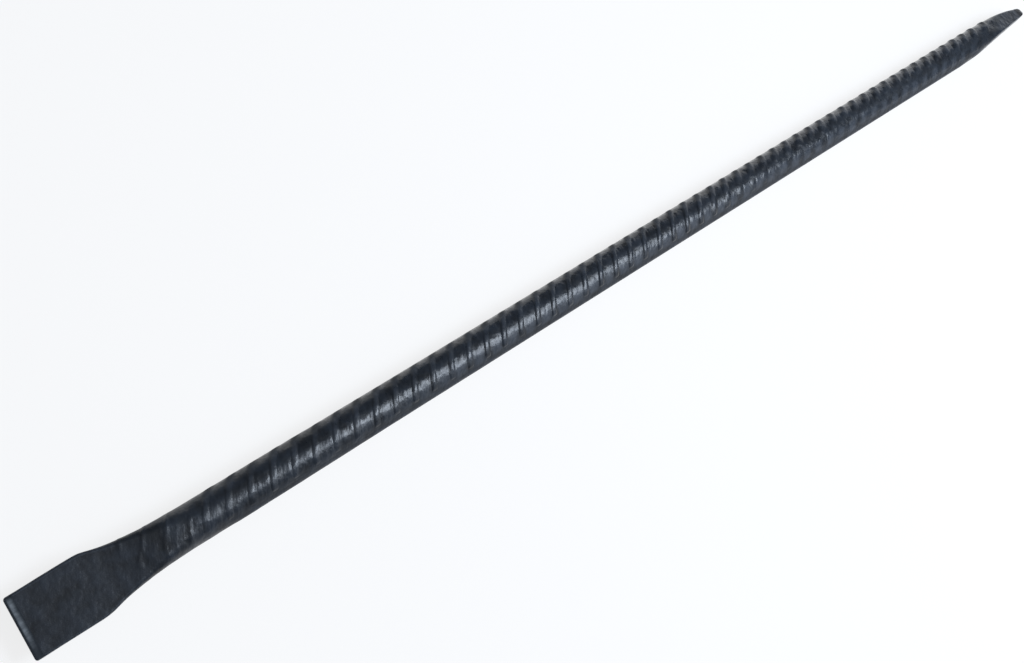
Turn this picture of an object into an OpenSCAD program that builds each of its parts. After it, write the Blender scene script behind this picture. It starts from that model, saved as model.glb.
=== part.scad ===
// Digging bar forged from one length of ribbed reinforcing steel: a flared chisel blade
// at one end, a blunt hammered point at the other, and rolled ribs along the shank.
// X runs along the bar from the chisel edge to the tip, Z is up, and the bar lies on z = 0.
// In the comments a station is a distance along the bar from the chisel edge.

/* [Bar] */
// Overall length from the chisel edge to the tip of the point
bar_len = 1000; // [800:5:1500]
// Diameter of the round core between the ribs
core_d = 24.2; // [20:0.1:32]

/* [Cross ribs] */
// Height of a cross rib above the core at the middle of the rib, where it is highest
rib_h = 1.6; // [0.8:0.1:2.6]
// Distance from one cross rib to the next along the bar
rib_pitch = 14.99; // [10:0.01:24]
// Width of a cross rib's crest along the bar
rib_crest_w = 2.2; // [1:0.1:3]
// Width of a cross rib's foot along the bar
rib_foot_w = 4.6; // [3.2:0.1:7]
// Lean of a cross rib away from square to the bar, where it leans most, in degrees
rib_lean = 37; // [0:1:45]
// Roll about the bar where the front ribs lean most, from straight up, in degrees
lean_roll = -45; // [-80:1:0]
// Length over which the ribs rise out of the hammered end of the bar
rib_rise_len = 180; // [20:5:300]
// Distance from the last cross rib's middle to the tip
last_rib_to_tip = 74.1; // [70:0.1:120]

/* [Seam ribs] */
// Height of a seam rib above the core
seam_h = 1.2; // [0.6:0.1:2.2]
// Width of a seam rib's crest
seam_crest_w = 2.6; // [1:0.1:4]
// Width of a seam rib's foot
seam_foot_w = 5.2; // [4.2:0.1:8]
// Gap between the end of a cross rib and the seam rib's foot
seam_gap = 0.8; // [0.2:0.1:3]
// Length over which a seam rib sinks away before the point
seam_fade_len = 30; // [10:1:80]
// Roll of the near seam rib about the bar, from straight up, in degrees
seam_roll = 64; // [30:1:90]

/* [Chisel blade] */
// Width of the blade
blade_w = 37.2; // [30:0.1:60]
// Length of the blade's parallel part, ground edge included
blade_len = 43; // [30:1:90]
// Thickness of the blade where the ground edge starts
blade_tip_t = 4.6; // [3:0.1:6.5]
// Rounding of the blade's long edges
blade_round = 1.4; // [0.4:0.1:2]
// Length of the ground bevel
bevel_len = 4.5; // [2:0.1:12]
// Thickness left at the very edge
edge_t = 1.2; // [0.4:0.1:2.5]
// Rounding of the two corners of the edge, seen from above
edge_round = 1.6; // [0.4:0.1:2]
// Skew of the edge away from square to the bar, in degrees
edge_skew = 2.8; // [0:0.1:8]

/* [Neck] */
// Length of the sloping shoulder behind the blade
shoulder_len = 9; // [4:0.5:20]
// Width of the bar at the end of the shoulder
shoulder_w = 32.4; // [26:0.1:36]
// Length of the neck from the shoulder to the round shank
neck_len = 51; // [30:1:120]
// Distance from the blade's parallel part to the line where its flat faces run out on the neck
run_out = 20; // [4:0.5:28]
// Thickness of the bar at the line where the flat faces run out
run_out_t = 12.6; // [8:0.1:18]

/* [Point] */
// Length of the hammered zone, from the round shank to the tip
point_len = 112; // [100:1:180]
// Diameter that the bar is drawn down to between its last ribs and the tip
point_d = 23.4; // [18:0.1:30]
// Length over which the bar is drawn down
draw_len = 55; // [30:1:90]
// Length over which the flats come out of the round bar
flat_start_len = 20; // [10:1:40]
// Length of the nose, which is a darker and more worn stretch
nose_len = 14; // [8:0.5:24]
// Length of the rounding at the very tip
nose_round = 9; // [2:0.1:12]
// Length of the flat on the near side
near_flat_len = 88; // [60:1:140]
// Length of the flats above and below
face_flat_len = 75; // [50:1:120]
// Length of the flat on the far side
far_flat_len = 61.5; // [30:0.5:100]
// Distance from the bar's axis to the near flat at the tip
near_tip = 3; // [1.5:0.1:5]
// Distance from the bar's axis to the upper and lower flats at the tip
face_tip = 3.6; // [2:0.1:6]
// Distance from the bar's axis to the far flat at the tip
far_tip = 3.3; // [2.5:0.1:7]
// Roll of the four flats about the bar, in degrees
point_roll = 12; // [0:1:45]

/* [Hidden] */

$fn = 64;
core_r = core_d / 2;
drawn_r = point_d / 2;
paint = "#2b2f36";
ground = "#4a4e55";

// Stations where one worked zone ends and the next begins
shoulder_at = blade_len + shoulder_len;
shank_at = shoulder_at + neck_len;
flat_end = blade_len + run_out;
point_at = bar_len - point_len;
nose_at = bar_len - nose_len;
shank_len = point_at - shank_at;

// Rings of the lofted zones
edge_rings = 6;
rise_rings = 12;
fade_rings = 4;
rib_rings = 18;
corner_points = 9;
flat_rings = 6;
neck_rings = 14;
point_points = 40;
point_rings = 16;
nose_rings = 10;

// Share of a rib's full height that is left next to the neck
low_rib_share = 0.25;
// Share of the tip's own section that is left as a small flat
tip_flat_share = 0.12;
// How sharply the hammered flats meet: the power of a rounded joint
flat_power = 14;
// Share of the half-thickness that a rounded corner may take up
round_share = 0.98;
// How late along the neck the rounded corners open into the round bar: a power
round_power = 1.6;
// How quickly the neck narrows behind the shoulder: a power
neck_power = 2.3;
// How far the near flat curves away from a plane: a power, where 1 is a plane
near_power = 1.5;
// Share of a cross rib's height that is left at its two ends
rib_end_share = 0.06;
// How quickly a cross rib sinks away towards its ends: a power
crescent_power = 0.8;
// Facets across the foot of a seam rib
seam_facets = 6;

function mix(a, b, u) = a + (b - a) * u;
function limit(u) = max(0, min(1, u));
function ease(u) = let (c = limit(u)) c * c * (3 - 2 * c);

// Towards the neck the ribs are hammered low
function rib_height(s) = rib_h * mix(low_rib_share, 1, ease((s - shank_at) / rib_rise_len));

// A cross rib is a crescent: it runs from one seam rib to the other, highest at its middle.
// Its share runs from 0 at its far end to 1 at its near end.
seam_clear = (seam_foot_w / 2 + seam_gap) / core_r * 180 / PI;
cross_span = 180 - 2 * seam_clear;

function rib_turn(share) = seam_roll - seam_clear - cross_span * (1 - share);
function crescent(share) = mix(rib_end_share, 1, pow(sin(180 * share), crescent_power));

// The bar rests on the crests of its rear ribs, and the front ribs are the same ribs turned over
rib_shares = [for (k = [0:rib_rings]) k / rib_rings];
axis_h = max([for (u = rib_shares) (core_r + rib_h * crescent(u)) * cos(rib_turn(u))]);

// Section of the chisel end at a station: a rounded rectangle that turns into the round bar

function neck_share(s) = limit((s - blade_len) / (shank_at - blade_len));

function half_width(s) =
    s < edge_round ? blade_w / 2 - edge_round + sqrt(pow(edge_round, 2) - pow(edge_round - s, 2))
    : s < blade_len ? blade_w / 2
    : s < shoulder_at ? mix(blade_w, shoulder_w, (s - blade_len) / shoulder_len) / 2
    : mix(core_r, shoulder_w / 2, pow((shank_at - s) / neck_len, neck_power));

function half_thick(s) =
    s < bevel_len ? mix(edge_t, blade_tip_t, s / bevel_len) / 2
    : s < flat_end ? mix(blade_tip_t, run_out_t, (s - bevel_len) / (flat_end - bevel_len)) / 2
    : mix(core_r, run_out_t / 2, pow((shank_at - s) / (shank_at - flat_end), 2));

function corner_r(s) =
    let (full = mix(blade_round, core_r, pow(neck_share(s), round_power)))
    min(full, round_share * half_thick(s));

// The edge is a little out of square, and the neck brings the sections back to square
function skew(s) = tan(edge_skew) * (1 - ease(neck_share(s)));

function chisel_ring(s) = [
    for (corner = [0:3], i = [0:corner_points - 1])
    let (
        turn = 90 * (corner + i / (corner_points - 1)),
        side_y = corner == 0 || corner == 3 ? 1 : -1,
        side_z = corner < 2 ? 1 : -1,
        r = corner_r(s),
        y = side_y * (half_width(s) - r) + r * cos(turn),
        z = side_z * (half_thick(s) - r) + r * sin(turn)
    )
    [s + skew(s) * (y + blade_w / 2) - bar_len / 2, y, axis_h + z]
];

// Section of the point at a station: the drawn-down bar cut by four sloping flats.
// Each flat is its roll about the bar, its length, its distance from the axis at the tip, and its curve.

flats = [
    [90 - point_roll, near_flat_len, near_tip, near_power],
    [-point_roll, face_flat_len, face_tip, 1],
    [-90 - point_roll, far_flat_len, far_tip, 1],
    [180 - point_roll, face_flat_len, face_tip, 1]
];
tip_y = (far_tip - near_tip) / 2;

function flat_reach(f, s) = mix(f[2], drawn_r, pow((bar_len - s) / f[1], f[3]));

function point_r(s, turn) =
    let (
        r = mix(core_r, drawn_r, ease((s - point_at) / draw_len)),
        start = ease((s - point_at) / flat_start_len),
        parts = [for (f = flats) pow(r * max(0, cos(turn - f[0])) / flat_reach(f, s), flat_power)]
    )
    r / pow(1 + start * (parts[0] + parts[1] + parts[2] + parts[3]), 1 / flat_power);

function skin_r(s, turn) = s < point_at ? core_r : point_r(s, turn);

// The nose draws in to a small flat along a quarter of an ellipse
function nose_share(s) =
    let (u = limit((s - bar_len + nose_round) / nose_round))
    mix(tip_flat_share, 1, sqrt(1 - u * u));

function point_ring(s) = [
    for (i = [0:point_points - 1])
    let (turn = 360 * i / point_points, r = point_r(s, turn), keep = nose_share(s))
    [s - bar_len / 2, mix(tip_y, -r * sin(turn), keep), axis_h + r * cos(turn) * keep]
];

// Lays what is drawn along +Z on the bar's axis from a station, with +X turned to straight up
module along_bar(s) {
    translate([s - bar_len / 2, 0, axis_h])
        rotate([0, 90, 0])
            rotate(180)
                children();
}

// Closed solid through a list of rings that all have the same number of points
module loft(rings) {
    n = len(rings[0]);
    last = len(rings) - 1;
    sides = [
        for (k = [0:last - 1], i = [0:n - 1])
        let (a = k * n + i, b = k * n + (i + 1) % n)
        each [[a, b, a + n], [b, b + n, a + n]]
    ];
    caps = [[for (i = [n - 1:-1:0]) i], [for (i = [0:n - 1]) last * n + i]];
    polyhedron([for (ring = rings) each ring], concat(sides, caps), convexity = 4);
}

function steps(from, to, count) = [for (k = [0:count]) mix(from, to, k / count)];

// Cross ribs: each leans along the bar, and the rear ones sit half a pitch out of step

last_rib_at = bar_len - last_rib_to_tip;
rib_reach = tan(rib_lean) * core_r + rib_foot_w / 2;
rib_count = floor((last_rib_at - rib_reach - shank_at) / rib_pitch);

function rib_ring(s, side, share) =
    let (
        turn = rib_turn(share) + side,
        middle = s - tan(rib_lean) * core_r * sin(rib_turn(share) - lean_roll),
        crest_r = core_r + rib_height(s) * crescent(share),
        from = middle - rib_foot_w / 2,
        to = middle + rib_foot_w / 2,
        section = [
            [to, skin_r(to, turn)], [middle + rib_crest_w / 2, crest_r],
            [middle - rib_crest_w / 2, crest_r], [from, skin_r(from, turn)]
        ]
    )
    [for (p = section) [p[0] - bar_len / 2, -p[1] * sin(turn), axis_h + p[1] * cos(turn)]];

module cross_rib(s, side) {
    loft([for (u = rib_shares) rib_ring(s, side, u)]);
}

// Seam ribs: a low strip along the core, left where the two rolls met

function seam_ring(s, side) =
    let (
        r = core_r,
        fade = mix(low_rib_share, 1, ease((point_at - s) / seam_fade_len)),
        h = min(seam_h, rib_height(s)) * fade,
        foot_turn = asin(seam_foot_w / 2 / r),
        foot = [
            for (i = [0:seam_facets])
            let (turn = mix(-foot_turn, foot_turn, i / seam_facets))
            [r * cos(turn), r * sin(turn)]
        ],
        crest = [for (y = [1, -1]) [r + h, y * seam_crest_w / 2]]
    )
    [
        for (p = concat(foot, crest))
        let (turn = seam_roll + side)
        [
            s - bar_len / 2,
            -p[0] * sin(turn) - p[1] * cos(turn),
            axis_h + p[0] * cos(turn) - p[1] * sin(turn)
        ]
    ];

module seam_rib(side) {
    loft([
        for (s = steps(shank_at, shank_at + rib_rise_len, rise_rings)) seam_ring(s, side),
        for (s = steps(point_at - seam_fade_len, point_at, fade_rings)) seam_ring(s, side)
    ]);
}

// Worked zones of the bar

module chisel_edge() {
    color(ground)
        loft([
            for (u = steps(0, 1, edge_rings)) chisel_ring(edge_round * pow(u, 2)),
            chisel_ring(bevel_len)
        ]);
}

module chisel_blade() {
    color(paint)
        loft([chisel_ring(bevel_len), chisel_ring(blade_len)]);
}

module neck() {
    color(paint)
        loft([
            for (s = steps(blade_len, flat_end, flat_rings)) chisel_ring(s),
            for (k = [1:neck_rings]) chisel_ring(mix(flat_end, shank_at, k / neck_rings))
        ]);
}

module shank_core() {
    color(paint)
        along_bar(shank_at)
            cylinder(h = shank_len, r = core_r);
}

module seam_rib_near() {
    color(paint)
        seam_rib(0);
}

module seam_rib_far() {
    color(paint)
        seam_rib(180);
}

module cross_ribs_front() {
    color(paint)
        for (k = [0:rib_count])
            cross_rib(last_rib_at - k * rib_pitch, 0);
}

module cross_ribs_rear() {
    color(paint)
        for (k = [1:rib_count - 1])
            cross_rib(last_rib_at - (k + 1 / 2) * rib_pitch, 180);
}

module point_taper() {
    color(paint)
        loft([for (s = steps(point_at, nose_at, point_rings)) point_ring(s)]);
}

module point_nose() {
    color(paint)
        loft([for (s = steps(nose_at, bar_len, nose_rings)) point_ring(s)]);
}

chisel_edge();
chisel_blade();
neck();
shank_core();
seam_rib_near();
seam_rib_far();
cross_ribs_front();
cross_ribs_rear();
point_taper();
point_nose();
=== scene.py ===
import math
import bpy
import numpy as np
from mathutils import Matrix, Vector, noise


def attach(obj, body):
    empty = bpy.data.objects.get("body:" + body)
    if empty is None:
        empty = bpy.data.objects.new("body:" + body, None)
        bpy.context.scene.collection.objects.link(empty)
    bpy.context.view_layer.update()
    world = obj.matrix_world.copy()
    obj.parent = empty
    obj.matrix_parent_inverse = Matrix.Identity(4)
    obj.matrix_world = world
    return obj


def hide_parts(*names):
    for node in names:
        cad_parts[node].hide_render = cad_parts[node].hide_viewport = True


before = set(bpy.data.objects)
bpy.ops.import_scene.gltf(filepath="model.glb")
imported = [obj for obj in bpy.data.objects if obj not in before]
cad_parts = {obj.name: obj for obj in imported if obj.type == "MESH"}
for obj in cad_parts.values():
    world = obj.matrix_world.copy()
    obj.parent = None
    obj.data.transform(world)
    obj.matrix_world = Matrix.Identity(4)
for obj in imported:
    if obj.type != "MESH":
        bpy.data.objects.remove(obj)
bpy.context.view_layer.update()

# Sizes of the bar in millimetres. Most are as in the part's source. The rise of the ribs, the width of
# the shoulder, and the flats, nose and tip of the point follow the photograph more closely than the solids.
# A station is a distance along the bar from the chisel edge. A roll is an angle round it from straight up.
MM = 0.001
BAR_LEN = 1000.0
CORE_R = 12.1
RIB_H = 1.6
RIB_PITCH = 14.99
RIB_CREST = 2.2
RIB_LEAN = math.radians(37)
LEAN_ROLL = math.radians(-45)
RIB_RISE = 850.0
LOW_RIB = 0.2
RIB_END = 0.06
RIB_RINGS = 18
CRESCENT = 0.8
LAST_RIB = BAR_LEN - 74.1
FRONT_RIBS = 55
SEAM_H = 1.2
SEAM_CREST = 2.6
SEAM_FOOT = 5.2
SEAM_GAP = 0.8
SEAM_FADE = 30.0
SEAM_ROLL = math.radians(64)
BLADE_W = 37.2
BLADE_LEN = 43.0
BLADE_TIP_T = 4.6
BLADE_ROUND = 1.4
BEVEL_LEN = 4.5
EDGE_T = 1.2
EDGE_ROUND = 1.6
EDGE_SKEW = math.tan(math.radians(2.8))
SHOULDER_AT = BLADE_LEN + 9.0
SHOULDER_W = 32.0
SHANK_AT = SHOULDER_AT + 51.0
FLAT_END = BLADE_LEN + 20.0
RUN_OUT_T = 12.6
NECK_POWER = 2.3
ROUND_POWER = 1.6
ROUND_SHARE = 0.98
# Forging leaves the shoulder and the creases of the blade soft, over these reaches
SHOULDER_SOFT = 5.0
CREASE_SOFT = 12.0
# Forging spreads the far edge of the blade by this share
FLARE = 0.018
# Forging thickens the core next to the neck by this much
BULGE_H = 0.36
# Height of the ghosts of ribs that are left on the neck
GHOST_H = 0.34
POINT_AT = BAR_LEN - 112.0
DRAWN_R = 11.7
DRAW_LEN = 55.0
FLAT_START = 20.0
NOSE_AT = BAR_LEN - 14.0
NOSE_ROUND = 9.0
TIP_FLAT = 0.12
# The tip is worn shorter by this much
TIP_WEAR = 1.5
# Crispness of the ridges between the flats, along the point and at its nose
FLAT_POWER = 28
NOSE_POWER = 7
POINT_ROLL = math.radians(12)
# Each flat of the point: its roll, its length, its distance from the axis at the tip, and its curve
FLATS = [
    (math.radians(90) - POINT_ROLL, 88.0, 3.3, 1.3),
    (-POINT_ROLL, 75.0, 3.6, 1.0),
    (-math.radians(90) - POINT_ROLL, 60.0, 4.5, 1.13),
    (math.radians(180) - POINT_ROLL, 75.0, 3.6, 1.0),
]
# The tip lies this far off the axis
TIP_Y = 1.1
SEAM_CLEAR = (SEAM_FOOT / 2 + SEAM_GAP) / CORE_R
CROSS_SPAN = math.pi - 2 * SEAM_CLEAR

# Points round the bar in the mesh of its skin
AROUND = 128
QUARTER = AROUND // 4
ROLLS = np.arange(AROUND) * 2 * math.pi / AROUND


def mix(a, b, u):
    return a + (b - a) * u


def ease(u):
    c = np.clip(u, 0.0, 1.0)
    return c * c * (3 - 2 * c)


def rib_height(s):
    """Height of a rib at its middle: hammered low next to the neck, full height further along."""
    return RIB_H * mix(LOW_RIB, 1.0, ease((s - SHANK_AT) / RIB_RISE))


def crescent(share):
    """A cross rib is highest at its middle and sinks away towards the seam ribs."""
    return mix(RIB_END, 1.0, np.sin(math.pi * np.clip(share, 0.0, 1.0)) ** CRESCENT)


def rib_roll(share):
    return SEAM_ROLL - SEAM_CLEAR - CROSS_SPAN * (1 - share)


# The bar rests on the crests of its rear ribs
rib_shares = [k / RIB_RINGS for k in range(RIB_RINGS + 1)]
AXIS_H = max((CORE_R + RIB_H * crescent(u)) * math.cos(rib_roll(u)) for u in rib_shares)


# Shape of the skin

def bulge(s):
    """Hammering drove the ribs next to the neck into the core, which is a little thicker there."""
    return BULGE_H * ease((s - 68) / 34) * (1 - ease((s - 140) / 110))


def plain_half_width(s):
    if s < EDGE_ROUND:
        return BLADE_W / 2 - EDGE_ROUND + math.sqrt(EDGE_ROUND ** 2 - (EDGE_ROUND - s) ** 2)
    if s < BLADE_LEN:
        return BLADE_W / 2
    if s < SHOULDER_AT:
        return mix(BLADE_W, SHOULDER_W, (s - BLADE_LEN) / (SHOULDER_AT - BLADE_LEN)) / 2
    return mix(CORE_R, SHOULDER_W / 2, (max(SHANK_AT - s, 0.0) / (SHANK_AT - SHOULDER_AT)) ** NECK_POWER)


def plain_half_thick(s):
    if s < BEVEL_LEN:
        return mix(EDGE_T, BLADE_TIP_T, s / BEVEL_LEN) / 2
    if s < FLAT_END:
        return mix(BLADE_TIP_T, RUN_OUT_T, (s - BEVEL_LEN) / (FLAT_END - BEVEL_LEN)) / 2
    return mix(CORE_R, RUN_OUT_T / 2, (max(SHANK_AT - s, 0.0) / (SHANK_AT - FLAT_END)) ** 2)


def softened(plain, s, reach):
    """Forged shoulders and creases are soft: the plain outline, evened out over a reach to both sides."""
    reach = min(reach, max(s - 2 * BEVEL_LEN, 0.0))
    return sum(plain(s + reach * k / 4) for k in range(-4, 5)) / 9


def neck_share(s):
    return min(max((s - BLADE_LEN) / (SHANK_AT - BLADE_LEN), 0.0), 1.0)


def quarter_point(q, w, t, r):
    """Point on a quarter of a rounded rectangle, from the middle of its top to the middle of its side.
    The points crowd into the rounded corner, which needs them most."""
    by_length = 0.65
    flat, side, arc = w - r, t - r, r * math.pi / 2
    total = flat + side + arc
    to_arc = by_length * flat / total
    to_side = to_arc + by_length * arc / total + 1 - by_length
    if q < to_arc:
        return flat * q / to_arc, t
    if q < to_side:
        turn = (q - to_arc) / (to_side - to_arc) * math.pi / 2
        return flat + r * math.sin(turn), side + r * math.cos(turn)
    return w, side * (1 - q) / (1 - to_side)


def chisel_ring(s):
    """Ring of points round the blade or the neck."""
    w = softened(plain_half_width, s, SHOULDER_SOFT) + bulge(s)
    t = softened(plain_half_thick, s, CREASE_SOFT) + bulge(s)
    # The very edge is rounded over
    t *= 1 - 0.4 * (1 - min(s / 0.5, 1.0)) ** 2
    r = min(mix(BLADE_ROUND, CORE_R + bulge(s), neck_share(s) ** ROUND_POWER), ROUND_SHARE * t)
    skew = EDGE_SKEW * (1 - ease(neck_share(s)))
    # The far edge of the blade spreads a little towards the shoulder
    flare = FLARE * ease((s - 6) / 24) * (1 - ease((s - 41) / 7))
    ring = []
    for j in range(AROUND):
        quadrant, step = divmod(j, QUARTER)
        q = step / QUARTER
        y, z = quarter_point(q if quadrant % 2 == 0 else 1 - q, w, t, r)
        y = -y if quadrant < 2 else y * (1 + flare)
        z = z if quadrant in (0, 3) else -z
        ring.append((s + skew * (y + BLADE_W / 2) - BAR_LEN / 2, y, AXIS_H + z))
    return np.array(ring)


def skin_radius(s, roll):
    """Radius of the round bar, drawn down towards the point and cut there by the hammered flats."""
    r = mix(CORE_R, DRAWN_R, ease((s - POINT_AT) / DRAW_LEN)) + bulge(s)
    # The ridges between the flats are crisp along the point and round off at the nose
    power = mix(FLAT_POWER, NOSE_POWER, ease((s - 960) / 34))
    cut = 0.0
    for turn, length, tip, curve in FLATS:
        reach = mix(tip, DRAWN_R, (np.maximum(BAR_LEN - s, 0.0) / length) ** curve)
        cut = cut + (r * np.maximum(np.cos(roll - turn), 0) / reach) ** power
    return r / (1 + ease((s - POINT_AT) / FLAT_START) * cut) ** (1 / power)


def round_ring(s):
    """Ring of points round the shank or the point."""
    u = min(max((s - BAR_LEN + NOSE_ROUND) / NOSE_ROUND, 0.0), 1.0)
    keep = mix(TIP_FLAT, 1.0, math.sqrt(1 - u * u))
    r = skin_radius(s, ROLLS)
    y = mix(TIP_Y, -r * np.sin(ROLLS), keep)
    x = s - TIP_WEAR * ease((s - NOSE_AT) / (BAR_LEN - NOSE_AT)) - BAR_LEN / 2
    return np.stack([np.full(AROUND, x), y, AXIS_H + r * np.cos(ROLLS) * keep], -1)


def stations(*runs):
    """Stations of the rings: each run is its start, its end and the step between rings."""
    found = []
    for start, end, step in runs:
        found.extend(np.linspace(start, end, max(2, round((end - start) / step) + 1))[:-1])
    return found + [runs[-1][1]]


def rib_line(k, rear):
    """Station of a cross rib's middle where it doesn't lean."""
    return LAST_RIB - (k + (0.5 if rear else 0.0)) * RIB_PITCH


def lean_at(roll):
    return -math.tan(RIB_LEAN) * CORE_R * np.sin(roll - LEAN_ROLL)


# Flanks of a cross rib: on the far side, on the near side, and on the near side where the rib is worn
FAR_FLANK = 5.6
NEAR_FLANK = 2.8
WORN_FLANK = 6.0
# The front ribs are worn from this station on, and fully after this length:
# much of their near halves is gone, and a little of their far halves
WORN_FROM = 510.0
WORN_OVER = 120.0
NEAR_WEAR = 0.82
FAR_WEAR = 0.12
# Scatter of the ribs' places and heights, and the most that a rear or a front rib's height may scatter to
PLACE_SCATTER = 0.2
HEIGHT_SCATTER = 0.1
REAR_MOST = 0.92
FRONT_MOST = 1.3
# Hammering the point pushed the last rib towards the tip and flattened it
LAST_RIB_PUSH = 3.5
LAST_RIB_LEFT = 0.5
# The seam ribs' feet spread further than their solids', and their ends run on to the point
SEAM_SPREAD = 2.2
SEAM_RUN = 16.0
# The near one is turned towards the edge that shows, and both are worn low
NEAR_SEAM_TURN = math.radians(13)
NEAR_SEAM_STAND = 0.5
FAR_SEAM_STAND = 0.8
# Ribs sink into the skin by this much at their feet, and reach this far below it
SINK = 0.05
ROOT = 1.2
# How dull the near side and the seam ribs are, and how glossy the far side is between its ribs
SIDE_DRYNESS = 0.7
FAR_GLOSS = -0.45

# Points across a rib: how far up its flank each one is, from the foot to the crest and down again
CLIMB = np.concatenate([np.linspace(0.0, 1.0, 10), np.linspace(1.0, 0.0, 10)])
SIDE = np.repeat([-1.0, 1.0], 10)
RISE = ease(CLIMB)


def far_gloss(s):
    """Dryness of the paint between the ribs on the far side, below zero where it is glossier."""
    return FAR_GLOSS * ease((s - 150) / 400) * (1 - ease((s - 930) / 20))


def rib_across(s, roll):
    """Places across a rib: its flanks spread out on the far side, and on the near side where it is worn."""
    near = mix(NEAR_FLANK, WORN_FLANK, ease((s - WORN_FROM + 10) / (WORN_OVER + 10)))
    flank = mix(FAR_FLANK, near, ease((roll + 1.0) / 0.5))
    return SIDE * (RIB_CREST / 4 + flank * (1 - CLIMB))


def rough(points, size, seed):
    """Smooth unevenness between about -1 and 1, at a size in millimetres."""
    shift = Vector((seed, 2.3 * seed, -1.7 * seed))
    return np.array([noise.noise(Vector(p) / size + shift) for p in points])


def unevenness(points):
    """How far hammering, rolling and scale move the skin, in millimetres."""
    s = points[:, 0] + BAR_LEN / 2
    neck = ease((s - 56) / 12) * (1 - ease((s - 130) / 150))
    point = ease((s - 890) / 40)
    forged = np.maximum(neck, point)
    # The marks on the point run slantwise along it, three times as long as they are wide
    slant = points @ np.array([[0.28, 0.54, 0.0], [-0.18, 0.84, 0.0], [0.0, 0.0, 1.0]])
    broad = (0.05 + 0.07 * forged) * rough(points, 15.0, 3.0)
    fine = (0.03 + 0.09 * forged) * rough(points, 6.0, 8.0)
    return mix(broad + fine, 0.2 * rough(slant, 5.0, 4.0), point)


def pressed_marks(points):
    """Ghosts of the ribs that were hammered flat on the neck, in millimetres."""
    s = points[:, 0] + BAR_LEN / 2
    roll = np.arctan2(-points[:, 1], points[:, 2] - AXIS_H)
    height = np.zeros(len(points))
    for k in range(FRONT_RIBS, FRONT_RIBS + 5):
        u = s - rib_line(k, False) - 5.0 - lean_at(roll)
        height = np.maximum(height, ease((1.9 - np.abs(u)) / 1.5))
    spread = ease((roll + 1.5) / 0.5) * ease((0.95 - roll) / 0.4)
    return GHOST_H * height * spread * ease((s - 58) / 8)


def skin_normals(grid):
    along = np.gradient(grid, axis=0)
    round_bar = np.roll(grid, -1, 1) - np.roll(grid, 1, 1)
    normal = np.cross(round_bar, along)
    length = np.linalg.norm(normal, axis=2, keepdims=True)
    normal = normal / np.maximum(length, 1e-9)
    outward = grid - np.array([0, 0, AXIS_H])
    outward[..., 0] = 0
    return -normal if (normal * outward).sum(2).mean() < 0 else normal


# Meshes

def make_piece(name, points, faces, rub, dry, flat_faces, nodes, material):
    """A closed mesh that stands for some of the part's nodes.
    One state per point says how far the paint is worn thin, and on the near side of the shank how much
    lighter it is painted between the ribs, as painted shade; the other says how dull it is, or below zero
    how glossy."""
    mesh = bpy.data.meshes.new(name)
    mesh.from_pydata((np.asarray(points) * MM).tolist(), [], faces)
    smooth = np.ones(len(mesh.polygons), bool)
    smooth[list(flat_faces)] = False
    mesh.polygons.foreach_set("use_smooth", smooth)
    # The rim of a flat end is a sharp edge, so that it doesn't bend the shading of the skin
    edge_of = np.zeros(len(mesh.loops), int)
    mesh.loops.foreach_get("edge_index", edge_of)
    sizes = np.zeros(len(mesh.polygons), int)
    mesh.polygons.foreach_get("loop_total", sizes)
    smooth_side = np.repeat(smooth, sizes)
    touch = np.zeros((2, len(mesh.edges)), bool)
    touch[0, edge_of[smooth_side]] = True
    touch[1, edge_of[~smooth_side]] = True
    sharp = mesh.attributes.new("sharp_edge", "BOOLEAN", "EDGE")
    sharp.data.foreach_set("value", touch.all(0))
    for kind, values in (("rub", rub), ("dry", dry)):
        state = mesh.attributes.new(kind, "FLOAT", "POINT")
        state.data.foreach_set("value", np.asarray(values, np.float32))
    mesh.update()
    piece = bpy.data.objects.new(name, mesh)
    bpy.context.scene.collection.objects.link(piece)
    mesh.materials.append(material)
    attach(piece, "root")
    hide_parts(*nodes)
    return piece


def ladder(start, flip):
    """Faces that close a ring, in rungs from one side to the other."""
    half = AROUND // 2
    faces = []
    for j in range(-QUARTER, QUARTER):
        a, b = j % AROUND, (j + 1) % AROUND
        c, d = (half - j - 1) % AROUND, (half - j) % AROUND
        face = [a, b, c, d]
        face = [p for n, p in enumerate(face) if p not in face[:n]]
        faces.append([start + p for p in (face[::-1] if flip else face)])
    return faces


def skin_piece(name, grid, rub, dry, nodes, material):
    rows = len(grid)
    faces = []
    for i in range(rows - 1):
        for j in range(AROUND):
            a, b = i * AROUND + j, i * AROUND + (j + 1) % AROUND
            faces.append([a, a + AROUND, b + AROUND, b])
    sides = len(faces)
    faces += ladder(0, False) + ladder((rows - 1) * AROUND, True)
    return make_piece(
        name, grid.reshape(-1, 3), faces, rub.reshape(-1), dry.reshape(-1), range(sides, len(faces)),
        nodes, material)


def strip_faces(first, rows, wide):
    """Faces of a closed tube of rows, each a loop of points, with both ends closed."""
    faces = []
    for i in range(rows - 1):
        for j in range(wide):
            a, b = first + i * wide + j, first + i * wide + (j + 1) % wide
            faces.append([a, b, b + wide, a + wide])
    faces.append([first + j for j in range(wide)][::-1])
    faces.append([first + (rows - 1) * wide + j for j in range(wide)])
    return faces


# Materials

def linear(code):
    """sRGB hex colour to the linear colour that the shader takes."""
    parts = [int(code[i:i + 2], 16) / 255 for i in (1, 3, 5)]
    return [c / 12.92 if c <= 0.04045 else ((c + 0.055) / 1.055) ** 2.4 for c in parts] + [1.0]


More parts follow.
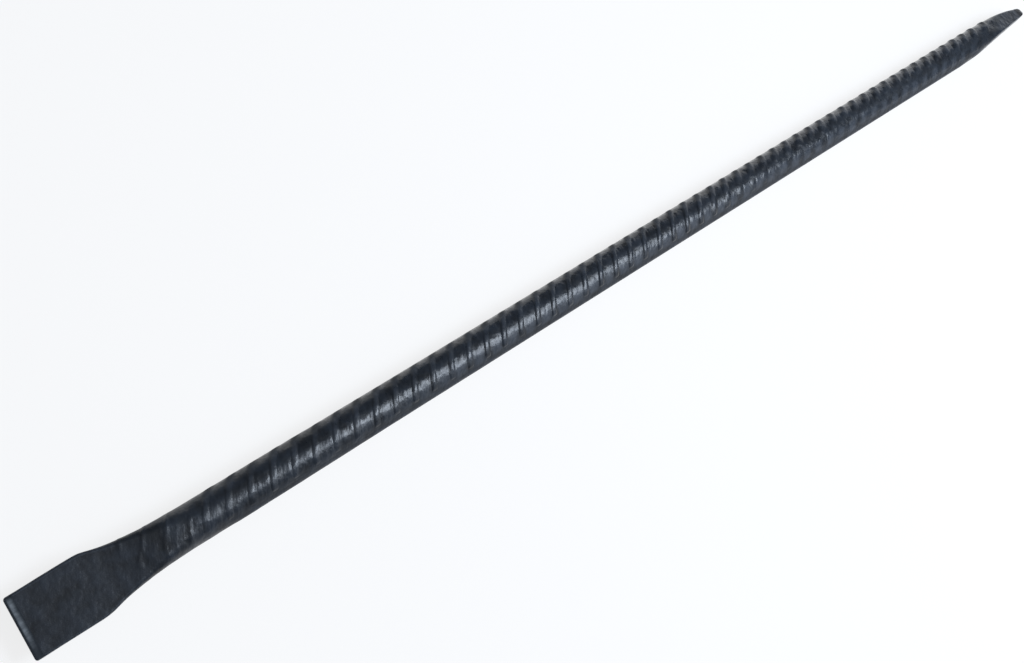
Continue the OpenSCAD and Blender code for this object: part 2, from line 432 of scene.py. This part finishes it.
def add_node(tree, kind, feeds=None, stops=None, **settings):
    """Adds a node: settings are its own choices, feeds the values or sockets that go into its inputs."""
    made = tree.nodes.new(kind)
    for key, value in settings.items():
        setattr(made, key, value)
    for key, value in (feeds or {}).items():
        if isinstance(value, bpy.types.NodeSocket):
            tree.links.new(value, made.inputs[key])
        else:
            made.inputs[key].default_value = value
    if stops:
        ramp = made.color_ramp
        while len(ramp.elements) < len(stops):
            ramp.elements.new(0.5)
        for element, (place, value) in zip(ramp.elements, stops):
            element.position = place
            element.color = value if isinstance(value, list) else (value, value, value, 1)
    return made


def per_mm(size):
    """Scale of a pattern, in repeats per metre, for a size in millimetres."""
    return 1 / (size * MM)


def new_material(name):
    material = bpy.data.materials.new(name)
    material.use_nodes = True
    material.node_tree.nodes.clear()
    return material, material.node_tree


# Blue-black enamel, brushed thin over hot-rolled steel: a satin skin that shows the scale under it
# as soft blotches, dulls in patches, carries the brush's streaks across the bar in line with the ribs,
# wears greyer along crests and corners, is painted lighter between the ribs on the near side as painted
# shade, and is dull where handling wears it.
def enamel(name, deep, thin, rubbed_and_lit, dullness, shine):
    material, tree = new_material(name)
    place = add_node(tree, "ShaderNodeTexCoord").outputs["Object"]
    blotch = add_node(tree, "ShaderNodeTexNoise", {
        "Vector": place, "Scale": per_mm(9), "Detail": 2.5, "Roughness": 0.55})
    patchy = add_node(tree, "ShaderNodeTexNoise", {
        "Vector": place, "Scale": per_mm(3.5), "Detail": 3.0, "Roughness": 0.65})
    # Brush streaks: long along the ribs' lean, about 4 mm apart, and fainter on the blade and the point
    turned = add_node(tree, "ShaderNodeMapping", {
        "Vector": place, "Rotation": (0.0, 0.0, math.radians(-24)), "Scale": (1.0, 3.6, 2.9)},
        vector_type="TEXTURE")
    streak = add_node(tree, "ShaderNodeTexNoise", {
        "Vector": turned.outputs["Vector"], "Scale": per_mm(4), "Detail": 2.0, "Roughness": 0.5})
    along = add_node(tree, "ShaderNodeSeparateXYZ", {"Vector": place})
    drag = add_node(tree, "ShaderNodeMapRange", {
        "Value": along.outputs["X"], "From Min": -0.45, "From Max": -0.42, "To Min": 0.35, "To Max": 1.0})
    short = add_node(tree, "ShaderNodeMapRange", {
        "Value": along.outputs["X"], "From Min": 0.37, "From Max": 0.42, "To Min": 1.0, "To Max": 0.3})
    reach = add_node(tree, "ShaderNodeMath", {
        0: drag.outputs["Result"], 1: short.outputs["Result"]}, operation="MULTIPLY")
    drawn = add_node(tree, "ShaderNodeMath", {
        0: streak.outputs["Fac"], 1: reach.outputs["Value"]}, operation="MULTIPLY")
    coat = add_node(tree, "ShaderNodeValToRGB", {"Fac": blotch.outputs["Fac"]}, stops=[
        (0.32, linear(deep)), (0.7, linear(thin))])
    # Paint worn thin on crests and corners takes the lighter colour, and so do the lands between the ribs
    # on the near side of the shank, as painted shade beside darker rib feet
    worn = add_node(tree, "ShaderNodeAttribute", attribute_name="rub")
    rub = add_node(tree, "ShaderNodeMath", {
        0: worn.outputs["Fac"], 1: patchy.outputs["Fac"]}, operation="MULTIPLY")
    colour = add_node(tree, "ShaderNodeMix", {
        "Factor": rub.outputs["Value"], "A": coat.outputs["Color"], "B": linear(rubbed_and_lit)},
        data_type="RGBA")
    dull = add_node(tree, "ShaderNodeMapRange", {
        "Value": patchy.outputs["Fac"], "From Min": 0.3, "From Max": 0.7,
        "To Min": dullness - 0.07, "To Max": dullness + 0.09})
    # The forged neck is duller, because paint sits badly on its scale
    scaly = add_node(tree, "ShaderNodeMapRange", {
        "Value": along.outputs["X"], "From Min": -0.4, "From Max": -0.31, "To Min": 0.08, "To Max": 0.0})
    dull = add_node(tree, "ShaderNodeMath", {
        0: dull.outputs["Result"], 1: scaly.outputs["Result"]}, operation="ADD")
    # Handling wears the crests of the ribs and the near side dull
    dry = add_node(tree, "ShaderNodeAttribute", attribute_name="dry")
    dull = add_node(tree, "ShaderNodeMath", {
        0: dry.outputs["Fac"], 1: 0.4, 2: dull.outputs["Value"]}, operation="MULTIPLY_ADD")
    # Orange peel of brushed enamel is under 1 mm across: drawn at 2 mm so that it shows
    peel = add_node(tree, "ShaderNodeTexNoise", {
        "Vector": place, "Scale": per_mm(2), "Detail": 2.0, "Roughness": 0.5})
    scale = add_node(tree, "ShaderNodeBump", {
        "Height": blotch.outputs["Fac"], "Strength": 1.0, "Distance": 0.0008})
    brushed = add_node(tree, "ShaderNodeBump", {
        "Height": drawn.outputs["Value"], "Strength": 1.0, "Distance": 0.0005,
        "Normal": scale.outputs["Normal"]})
    bump = add_node(tree, "ShaderNodeBump", {
        "Height": peel.outputs["Fac"], "Strength": 1.0, "Distance": 0.0001,
        "Normal": brushed.outputs["Normal"]})
    shader = add_node(tree, "ShaderNodeBsdfPrincipled", {
        "Base Color": colour.outputs["Result"], "Roughness": dull.outputs["Value"],
        "Specular IOR Level": shine, "Normal": bump.outputs["Normal"]})
    add_node(tree, "ShaderNodeOutputMaterial", {"Surface": shader.outputs["BSDF"]})
    return material


# Coarsely ground carbon steel: fine scratches square to the edge, and traces of paint left on it
def ground_steel(name):
    material, tree = new_material(name)
    place = add_node(tree, "ShaderNodeTexCoord").outputs["Object"]
    # Grit scratches are about 0.2 mm wide: drawn at 0.8 mm so that they show
    along = add_node(tree, "ShaderNodeVectorMath", {
        0: place, 1: (0.12, 1.0, 0.4)}, operation="MULTIPLY")
    scratch = add_node(tree, "ShaderNodeTexNoise", {
        "Vector": along.outputs["Vector"], "Scale": per_mm(0.8), "Detail": 3.0, "Roughness": 0.6})
    steel = add_node(tree, "ShaderNodeValToRGB", {"Fac": scratch.outputs["Fac"]}, stops=[
        (0.3, linear("#9aa0a4")), (0.7, linear("#c0c6ca"))])
    bare = add_node(tree, "ShaderNodeAttribute", attribute_name="rub")
    colour = add_node(tree, "ShaderNodeMix", {
        "Factor": bare.outputs["Fac"], "A": linear("#4a4f54"), "B": steel.outputs["Color"]},
        data_type="RGBA")
    dull = add_node(tree, "ShaderNodeMapRange", {
        "Value": scratch.outputs["Fac"], "From Min": 0.3, "From Max": 0.7, "To Min": 0.42, "To Max": 0.6})
    bump = add_node(tree, "ShaderNodeBump", {
        "Height": scratch.outputs["Fac"], "Strength": 0.4, "Distance": 0.0002})
    shader = add_node(tree, "ShaderNodeBsdfPrincipled", {
        "Base Color": colour.outputs["Result"], "Metallic": 1.0, "Roughness": dull.outputs["Result"],
        "Normal": bump.outputs["Normal"]})
    add_node(tree, "ShaderNodeOutputMaterial", {"Surface": shader.outputs["BSDF"]})
    return material


# The third colour is for paint worn thin, and for the lighter lands of the painted shade between the ribs
bar_enamel = enamel("blue_black_enamel_brushed", "#0e1217", "#232931", "#454a52", 0.32, 0.5)
nose_enamel = enamel("blue_black_enamel_scuffed", "#0c0c0e", "#17181b", "#2c2e32", 0.4, 0.28)
bevel_steel = ground_steel("carbon_steel_coarse_ground")

# Skin of the whole bar, then cut into its worked zones

zone_starts = [0.0, BEVEL_LEN, BLADE_LEN, SHANK_AT, POINT_AT, NOSE_AT, BAR_LEN]
chisel_stations = stations(
    (0.0, 0.1, 0.02), (0.1, 0.6, 0.1), (0.6, EDGE_ROUND, 0.2), (EDGE_ROUND, BEVEL_LEN, 0.7),
    (BEVEL_LEN, BLADE_LEN, 1.0), (BLADE_LEN, SHANK_AT, 0.8))
round_stations = stations(
    (SHANK_AT, 260.0, 1.4), (260.0, POINT_AT, 2.0), (POINT_AT, NOSE_AT, 1.0),
    (NOSE_AT, BAR_LEN - NOSE_ROUND, 0.8), (BAR_LEN - NOSE_ROUND, BAR_LEN - 1.0, 0.35),
    (BAR_LEN - 1.0, BAR_LEN, 0.14))
skin_stations = np.array(chisel_stations[:-1] + round_stations)
skin = np.array([chisel_ring(s) for s in chisel_stations[:-1]] + [round_ring(s) for s in round_stations])
lift = unevenness(skin.reshape(-1, 3)) + pressed_marks(skin.reshape(-1, 3))
lift = lift.reshape(skin.shape[:2])
lift *= ease(skin_stations / 6.0)[:, None] * ease((BAR_LEN - skin_stations) / 4.0)[:, None]
skin = skin + skin_normals(skin) * lift[..., None]

# The bevel was ground bare, except at its burr and towards its near corner, where paint is left;
# elsewhere paint rubs off where the skin turns sharply: corners of the blade, ridges of the point
facing = skin_normals(skin)
turning = np.arccos(np.clip((facing * np.roll(facing, 1, 1)).sum(2), -1, 1))
chord = np.linalg.norm(skin - np.roll(skin, 1, 1), axis=2)
wear_and_painted_shade = np.clip(turning / np.maximum(chord, 0.05) * 1.2 - 0.25, 0, 1)
bevel_rows = skin_stations <= BEVEL_LEN + 1e-6
side = skin[bevel_rows][..., 1]
from_edge = skin_stations[bevel_rows][:, None]
ground = ease((from_edge - 0.8) / 0.9) * ease((BEVEL_LEN - from_edge) / 2.2)
patches = 0.85 + 0.7 * rough(skin[bevel_rows].reshape(-1, 3), 4.0, 5.0).reshape(side.shape)
wear_and_painted_shade[bevel_rows] = ground * patches * mix(0.1, 1.0, ease((side + 15.0) / 15.0))
wear_and_painted_shade[bevel_rows] *= ease((17.6 - side) / 2.0)

# On the near side of the shank the lands between the ribs are painted lighter than the ribs' feet: painted
# shade, darker at the feet, that stands in for the shading of the ribs' near halves
rolls = np.arctan2(-skin[..., 1], skin[..., 2] - AXIS_H)
from_last = skin[..., 0] + BAR_LEN / 2 - lean_at(rolls) - LAST_RIB
from_rib = (from_last + RIB_PITCH / 2) % RIB_PITCH - RIB_PITCH / 2
painted_rib_shade = ease((np.abs(from_rib) - 2.5) / 2.5) * ease((rolls - 0.05) / 0.3) * ease((1.0 - rolls) / 0.2)
on_shank = (ease((skin_stations - 180) / 150) * ease((POINT_AT + 20 - skin_stations) / 40))[:, None]
wear_and_painted_shade = np.maximum(wear_and_painted_shade, 0.9 * painted_rib_shade * on_shank)
# The near side is worn dull, from under the highlight round to the seam
dry_side = SIDE_DRYNESS * ease((rolls - 0.6) / 0.25) * ease((1.9 - rolls) / 0.3)
dry_side *= (ease((skin_stations - 90) / 40) * (1 - ease((skin_stations - 900) / 20)))[:, None]
# On the far side the paint keeps its gloss between the ribs
kept_gloss = ease((-0.5 - rolls) / 0.3) * ease((rolls + 2.4) / 0.3)
dry_side += far_gloss(skin_stations)[:, None] * kept_gloss

for name, start, nodes, slot, material in (
    ("ground_edge", 0, ["chisel_edge"], "ground_edge", bevel_steel),
    ("blade", 1, ["chisel_blade"], "painted_steel", bar_enamel),
    ("forged_neck", 2, ["neck"], "painted_steel", bar_enamel),
    ("shank", 3, ["shank_core"], "painted_steel", bar_enamel),
    ("hammered_point", 4, ["point_taper"], "painted_steel", bar_enamel),
    ("blunt_nose", 5, ["point_nose"], "worn_nose", nose_enamel),
):
    low, high = zone_starts[start] - 1e-6, zone_starts[start + 1] + 1e-6
    rows = np.nonzero((skin_stations >= low) & (skin_stations <= high))[0]
    skin_piece(name, skin[rows], wear_and_painted_shade[rows], dry_side[rows], nodes, material)

# Cross ribs: leaning crescents with filleted feet that sink a little into the skin

rng = np.random.default_rng(7)
RIB_STEPS = 46


def rib_row(s, roll, share, height):
    """Row of points over a rib at one roll, closed by two points under the skin."""
    r = np.maximum(CORE_R + bulge(s) + height * share, skin_radius(s, roll) + height * 0.2 * share)
    r = mix(skin_radius(s, roll), r, np.clip(share * 3, 0, 1))
    out = np.stack([np.zeros_like(r), -np.sin(roll) + 0 * r, np.cos(roll) + 0 * r], -1)
    row = np.stack([s - BAR_LEN / 2, 0 * r, AXIS_H + 0 * r], -1) + out * r[:, None]
    row += out * (unevenness(row) - SINK * (1 - share))[:, None]
    deep = np.array([row[-1], row[0]]) - ROOT * out[[-1, 0]]
    return np.concatenate([row, deep])


def cross_ribs(name, numbers, rear, nodes):
    points, rub, dry, faces = [], [], [], []
    for k in numbers:
        middle = rib_line(k, rear) + rng.normal(0, PLACE_SCATTER)
        # The bar rests on its rear ribs, so none of them may reach below the floor
        scatter = min(1 + rng.normal(0, HEIGHT_SCATTER), REAR_MOST if rear else FRONT_MOST)
        height = rib_height(middle) * scatter
        if k == 0 and not rear:
            middle, height = middle + LAST_RIB_PUSH, LAST_RIB_LEFT * height
        far = 0.0 if rear else ease((middle - WORN_FROM) / WORN_OVER)
        first = len(points)
        for u in np.linspace(-0.02, 1.02, RIB_STEPS):
            ends = ease((u + 0.02) / 0.05) * ease((1.02 - u) / 0.05)
            full = mix(crescent(u), crescent(u) ** 0.4, ease((u - 0.5) / 0.2)) * ends
            # Further along, the near half of a rib is worn away
            full *= 1 - far * mix(FAR_WEAR, NEAR_WEAR, ease((u - 0.42) / 0.25))
            # The rear ribs sink before they reach the near edge, which is straight
            full *= ease((u - 0.04) / 0.3) if rear else 1.0
            share = RISE * full
            s = middle + rib_across(middle, rib_roll(u)) + lean_at(rib_roll(u))
            points.extend(rib_row(s, rib_roll(u) + (math.pi if rear else 0.0), share, height).tolist())
            rub.extend((share ** 3 * 0.5).tolist() + [0, 0])
            crest = np.clip(1.6 * share, 0, RISE) ** 1.8
            dry.extend((mix(far_gloss(middle), 1.0, crest) * ease((0.5 - u) / 0.2)).tolist() + [0, 0])
        faces += strip_faces(first, RIB_STEPS, len(RISE) + 2)
    return make_piece(name, points, faces, rub, dry, [], nodes, bar_enamel)


cross_ribs("front_ribs", range(FRONT_RIBS), False, ["cross_ribs_front"])
cross_ribs("rear_ribs", range(1, FRONT_RIBS - 1), True, ["cross_ribs_rear"])


# Seam ribs: one low strip along each side of the shank, left between the rolls

def seam_rib(name, side, turn, stand, nodes):
    """A seam rib on one side of the bar, turned further round it, at a share of its full height."""
    reach = SEAM_FOOT / 2 + SEAM_SPREAD
    spread = np.linspace(-reach, reach, 17)
    profile = ease((reach - np.abs(spread)) / (reach - SEAM_CREST / 4))
    points, rub, dry = [], [], []
    end = POINT_AT + SEAM_RUN
    rows = stations((SHANK_AT - 2, end, 2.5))
    for s in rows:
        fade = ease((s - SHANK_AT + 2) / 40) * ease((end - s) / SEAM_FADE)
        height = stand * min(SEAM_H, 3 * rib_height(s))
        share = profile * fade
        roll = SEAM_ROLL + side + turn + spread / CORE_R
        out = np.stack([0 * roll, -np.sin(roll), np.cos(roll)], -1)
        row = np.stack([s - BAR_LEN / 2 + 0 * roll, 0 * roll, AXIS_H + 0 * roll], -1)
        row = row + out * (skin_radius(s, roll) + height * share)[:, None]
        row += out * (unevenness(row) - SINK * (1 - share))[:, None]
        deep = np.array([row[-1], row[0]]) - ROOT * out[[-1, 0]]
        points.extend(np.concatenate([row, deep]).tolist())
        rub.extend((share ** 3 * 0.4).tolist() + [0, 0])
        dry.extend([SIDE_DRYNESS * fade] * len(spread) + [0, 0])
    faces = strip_faces(0, len(rows), len(spread) + 2)
    return make_piece(name, points, faces, rub, dry, [], nodes, bar_enamel)


seam_rib("near_seam", 0.0, NEAR_SEAM_TURN, NEAR_SEAM_STAND, ["seam_rib_near"])
seam_rib("far_seam", math.pi, 0.0, FAR_SEAM_STAND, ["seam_rib_far"])

# Stage: a plain white sheet on a table

def stage_floor():
    reach = 2.6
    mesh = bpy.data.meshes.new("studio_floor")
    corners = [(-reach, -reach, 0), (reach, -reach, 0), (reach, reach, 0), (-reach, reach, 0)]
    mesh.from_pydata(corners, [], [[0, 1, 2, 3]])
    floor = bpy.data.objects.new("studio_floor", mesh)
    bpy.context.scene.collection.objects.link(floor)
    # Matt white paper: part of what the camera and reflections see is its plain white,
    # and part is the light on it, which keeps the bar's shadow
    material, tree = new_material("white_paper_sheet")
    ray = add_node(tree, "ShaderNodeLightPath")
    seen = add_node(tree, "ShaderNodeMath", {
        0: ray.outputs["Is Camera Ray"], 1: ray.outputs["Is Glossy Ray"]}, operation="MAXIMUM")
    seen = add_node(tree, "ShaderNodeMath", {
        0: seen.outputs["Value"], 1: ray.outputs["Is Transmission Ray"]}, operation="MAXIMUM")
    share = add_node(tree, "ShaderNodeMath", {0: seen.outputs["Value"], 1: 0.8}, operation="MULTIPLY")
    paper = add_node(tree, "ShaderNodeBsdfDiffuse", {"Color": linear("#f4f4f4")})
    white = add_node(tree, "ShaderNodeEmission", {"Color": (1, 1, 1, 1), "Strength": 1.0})
    both = add_node(tree, "ShaderNodeMixShader", {
        "Fac": share.outputs["Value"], 1: paper.outputs["BSDF"], 2: white.outputs["Emission"]})
    add_node(tree, "ShaderNodeOutputMaterial", {"Surface": both.outputs["Shader"]})
    mesh.materials.append(material)


stage_floor()

# Light

def soft_box(name, place, aim, wide, deep, watts, colour):
    lamp = bpy.data.lights.new(name, "AREA")
    lamp.shape = "RECTANGLE"
    lamp.size, lamp.size_y = wide, deep
    lamp.energy = watts
    lamp.color = linear(colour)[:3]
    box = bpy.data.objects.new(name, lamp)
    bpy.context.scene.collection.objects.link(box)
    look = Vector(aim) - Vector(place)
    box.matrix_world = Matrix.Translation(place) @ look.to_track_quat("-Z", "Y").to_matrix().to_4x4()


# A soft box over the point's half of the bar, a small one and a weak panel lower down on the near side,
# and a wide panel behind the point
soft_box("key_box", (0.49, -0.39, 1.2), (-0.17, 0.0, 0.0), 0.75, 0.65, 19.0, "#e6f1ff")
soft_box("side_box", (0.56, -0.8, 0.65), (-0.1, 0.0, 0.0), 0.6, 0.6, 1.3, "#e6f1ff")
soft_box("near_panel", (0.9, -1.4, 0.5), (0.0, 0.0, 0.0), 1.5, 0.9, 1.8, "#f4f8ff")
soft_box("rear_panel", (2.6, 1.2, 0.45), (0.3, 0.0, 0.1), 2.6, 0.8, 6.5, "#f4f8ff")

# The room is dim at the sides and paler overhead
world = bpy.data.worlds.new("dim_room")
world.use_nodes = True
world.node_tree.nodes.clear()
toward = add_node(world.node_tree, "ShaderNodeTexCoord").outputs["Generated"]
height = add_node(world.node_tree, "ShaderNodeSeparateXYZ", {"Vector": toward}).outputs["Z"]
tone = add_node(world.node_tree, "ShaderNodeValToRGB", {"Fac": height}, stops=[
    (0.0, linear("#666c75")), (0.75, linear("#727a86")), (1.0, linear("#b4b9c0"))])
room = add_node(world.node_tree, "ShaderNodeBackground", {"Color": tone.outputs["Color"], "Strength": 1.0})
add_node(world.node_tree, "ShaderNodeOutputWorld", {"Surface": room.outputs["Background"]})
bpy.context.scene.world = world

# Camera at the photograph's viewing angle

camera = bpy.data.cameras.new("camera")
camera.sensor_width = 36.0
camera.sensor_fit = "HORIZONTAL"
camera.lens = 41.93
focal_pixels = 1192.73
camera.clip_start = 0.01
eye = bpy.data.objects.new("camera", camera)
bpy.context.scene.collection.objects.link(eye)
right = Vector((0.73513, -0.52486, 0.42896))
up = Vector((0.45578, 0.85112, 0.26041))
# Turned by half a pixel each way, because a pixel's middle is half a pixel from its corner
back = (right.cross(up) + (right - up) * 0.5 / focal_pixels).normalized()
right = up.cross(back).normalized()
up = back.cross(right)
place = Vector((-0.55087, 0.0, AXIS_H * MM + 0.68603))
eye.matrix_world = Matrix.Translation(place) @ Matrix((right, up, back)).transposed().to_4x4()
bpy.context.scene.camera = eye
bpy.context.scene.view_settings.view_transform = "Standard"
